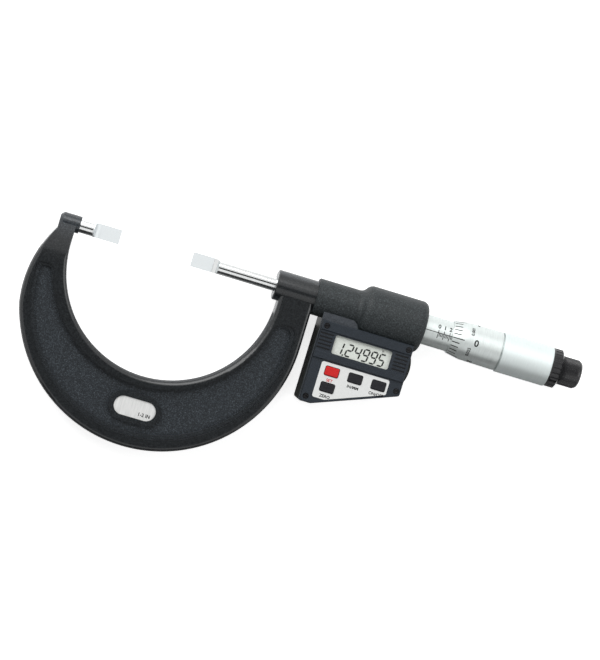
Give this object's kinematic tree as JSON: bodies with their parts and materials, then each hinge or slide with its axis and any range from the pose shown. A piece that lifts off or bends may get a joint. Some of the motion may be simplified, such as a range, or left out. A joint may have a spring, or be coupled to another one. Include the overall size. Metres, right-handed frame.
{
  "type": "outside micrometer",
  "caption": "Outside micrometer with blade faces, a spindle that slides without turning, a ratchet and a digital readout.",
  "frame": {"origin": "centre of the anvil's measuring face", "axes": "+X along the measuring axis from the anvil to the ratchet, -Y towards the bow of the frame, +Z out of the face of the readout"},
  "size_m": [0.241, 0.096, 0.0228],
  "materials": {
    "enamel": "glossy black enamel",
    "housing_paint": "charcoal crinkle paint",
    "plate": "pale blank plate",
    "ground_steel": "polished hardened steel",
    "satin_steel": "satin chrome plated scale",
    "screw_steel": "ground steel",
    "black_metal": "black finished metal",
    "brass": "turned brass",
    "case_plastic": "moulded dark plastic",
    "bezel_plastic": "moulded dark blue-grey plastic",
    "lens": "clear lens",
    "lcd": "display glass",
    "label": "white label",
    "red_key": "red key",
    "black_key": "black key",
    "board": "glass-fibre circuit board",
    "chip": "moulded packages and switches",
    "contact_rubber": "conductive rubber",
    "cell": "nickel plated cell"
  },
  "bodies": {
    "frame_body": {"frame": "enamel", "name_plate": "plate", "anvil": "ground_steel", "guide_key_screw": "screw_steel", "encoder_housing": "housing_paint", "housing_end_cap": "housing_paint", "encoder_stator": "board", "encoder_bush": "brass", "spacer_ring": "screw_steel", "nut_sleeve": "screw_steel", "adjusting_nut": "screw_steel", "graduated_sleeve": "satin_steel", "readout_case": "case_plastic", "readout_bezel": "bezel_plastic", "bezel_screws": "black_metal", "case_fixings": "screw_steel", "display_window": "lens", "lcd_panel": "lcd", "lcd_connector": "contact_rubber", "circuit_board": "board", "board_chips": "chip", "tact_switches": "chip", "keypad_label": "label", "battery": "cell", "battery_contacts": "screw_steel", "data_socket": "chip", "flex_cable": "board"},
    "spindle_body": {"spindle": "ground_steel", "spindle_coupling": "screw_steel"},
    "thimble_body": {"lead_screw": "screw_steel", "thimble": "satin_steel", "thimble_band": "satin_steel", "thimble_ring": "black_metal", "ratchet_wheel": "screw_steel", "ratchet_screw": "screw_steel"},
    "ratchet_body": {"ratchet_knob": "black_metal", "ratchet_pawl": "screw_steel", "ratchet_spring": "screw_steel"},
    "encoder_body": {"encoder_rotor": "board", "rotor_hub": "brass", "drive_pin": "screw_steel", "rotor_clip": "screw_steel"},
    "red_key_body": {"key_red": "red_key"},
    "middle_key_body": {"key_middle": "black_key"},
    "right_key_body": {"key_right": "black_key"},
    "lower_key_body": {"key_lower": "black_key"},
    "battery_cover_body": {"battery_cover": "case_plastic"},
    "port_cap_body": {"data_port_cap": "case_plastic"}
  },
  "joints": [
    {"name": "spindle_travel", "type": "slide", "parent": "frame_body", "child": "spindle_body", "axis": [1, 0, 0], "range_m": [-0.00635, 0.01905]},
    {"name": "thimble_turn", "type": "hinge", "parent": "spindle_body", "child": "thimble_body", "pos_m": [0.16, 0, 0], "axis": [1, 0, 0], "range_deg": [-3601, 10801]},
    {"name": "encoder_turn", "type": "hinge", "parent": "frame_body", "child": "encoder_body", "pos_m": [0.118, 0, 0], "axis": [1, 0, 0], "range_deg": [-3601, 10801]},
    {"name": "ratchet_turn", "type": "hinge", "parent": "thimble_body", "child": "ratchet_body", "pos_m": [0.2, 0, 0], "axis": [1, 0, 0], "continuous": true},
    {"name": "red_key_press", "type": "slide", "parent": "frame_body", "child": "red_key_body", "axis": [0, 0, -1], "range_m": [0, 0.0005], "stiffness_N_per_m": 600},
    {"name": "middle_key_press", "type": "slide", "parent": "frame_body", "child": "middle_key_body", "axis": [0, 0, -1], "range_m": [0, 0.0005], "stiffness_N_per_m": 600},
    {"name": "right_key_press", "type": "slide", "parent": "frame_body", "child": "right_key_body", "axis": [0, 0, -1], "range_m": [0, 0.0005], "stiffness_N_per_m": 600},
    {"name": "lower_key_press", "type": "slide", "parent": "frame_body", "child": "lower_key_body", "axis": [0, 0, -1], "range_m": [0, 0.0005], "stiffness_N_per_m": 600},
    {"name": "battery_cover_turn", "type": "hinge", "parent": "frame_body", "child": "battery_cover_body", "pos_m": [0.108, -0.026, -0.0112], "axis": [0, 0, -1], "range_deg": [0, 60]},
    {"name": "port_cap_pull", "type": "slide", "parent": "frame_body", "child": "port_cap_body", "axis": [1, 0, 0], "range_m": [0, 0.01]}
  ],
  "couplings": [
    {"joint": "thimble_turn", "follows": "spindle_travel", "rad_per_m": 9894.8},
    {"joint": "encoder_turn", "follows": "spindle_travel", "rad_per_m": 9894.8}
  ]
}
